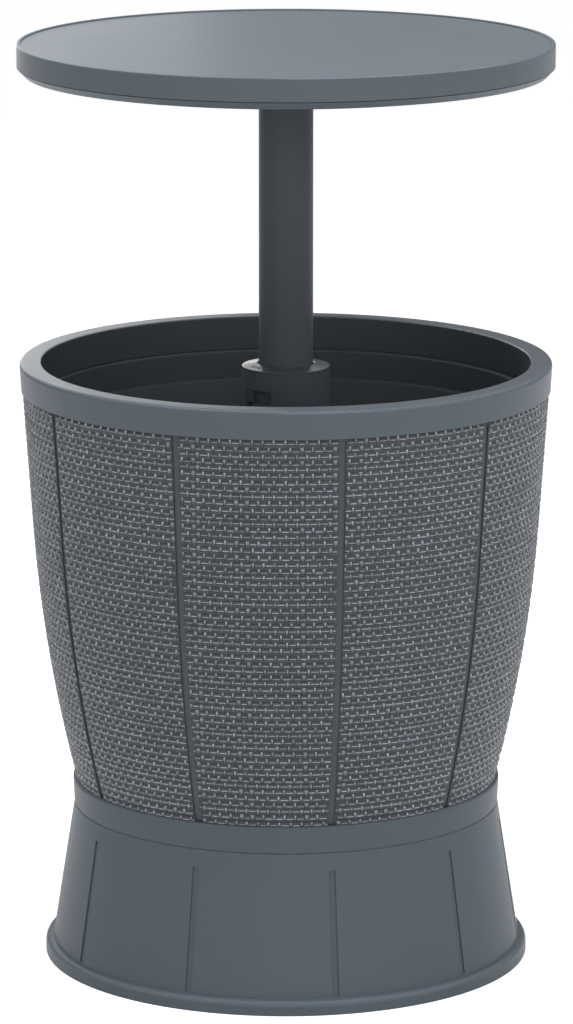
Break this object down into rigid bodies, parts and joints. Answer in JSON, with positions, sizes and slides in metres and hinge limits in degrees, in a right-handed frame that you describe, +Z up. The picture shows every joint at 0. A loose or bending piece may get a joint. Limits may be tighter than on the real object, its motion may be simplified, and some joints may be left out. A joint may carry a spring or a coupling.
{
  "type": "cooler table with lid",
  "caption": "Round patio table on a pole that lifts out of a double-walled barrel cooler with a woven-look shell, a flared base and a drain; the pole twist-locks up or down.",
  "frame": {"origin": "centre of the foot ring, on the ground", "axes": "+Z up along the pole; the camera of the picture looks along +Y"},
  "size_m": [0.4902, 0.4902, 0.8542],
  "materials": {
    "slate_plastic": "satin moulded plastic, slate grey",
    "woven_plastic": "satin moulded plastic with a raised weave, slate grey",
    "liner_plastic": "smooth moulded plastic, slate grey",
    "gloss_cap": "glossy moulded plastic, slate grey",
    "pole_plastic": "satin extruded plastic tube, slate grey",
    "bush_nylon": "satin nylon, dark grey",
    "black_rubber": "matte rubber, black",
    "screw_steel": "zinc plated steel"
  },
  "bodies": {
    "cooler": {"base_skirt": "slate_plastic", "base_screws": "screw_steel", "outer_shell": "woven_plastic", "inner_tub": "liner_plastic", "rim_ring": "slate_plastic", "centre_sleeve": "liner_plastic", "sleeve_screws": "screw_steel", "sleeve_cap": "gloss_cap", "pole_bush": "bush_nylon", "drain_spout": "liner_plastic", "drain_gasket": "black_rubber", "drain_nut": "bush_nylon"},
    "brake": {"brake_ring": "black_rubber"},
    "table": {"pole": "pole_plastic", "pole_foot": "bush_nylon", "pole_foot_pin": "screw_steel", "pole_head": "bush_nylon", "pole_head_pin": "screw_steel", "pole_head_screws": "screw_steel", "table_top": "slate_plastic", "table_underside": "slate_plastic", "table_screws": "screw_steel"},
    "plug": {"drain_plug": "bush_nylon", "drain_plug_seal": "black_rubber"}
  },
  "joints": [
    {"name": "pole_lift", "type": "slide", "parent": "cooler", "child": "brake", "axis": [0, 0, 1], "range_m": [-0.265, 0]},
    {"name": "table_twist", "type": "hinge", "parent": "brake", "child": "table", "pos_m": [0, 0, 0.5], "axis": [0, 0, 1], "range_deg": [0, 28]},
    {"name": "drain_plug_pull", "type": "slide", "parent": "cooler", "child": "plug", "axis": [0, 0, 1], "range_m": [0, 0.03]}
  ]
}
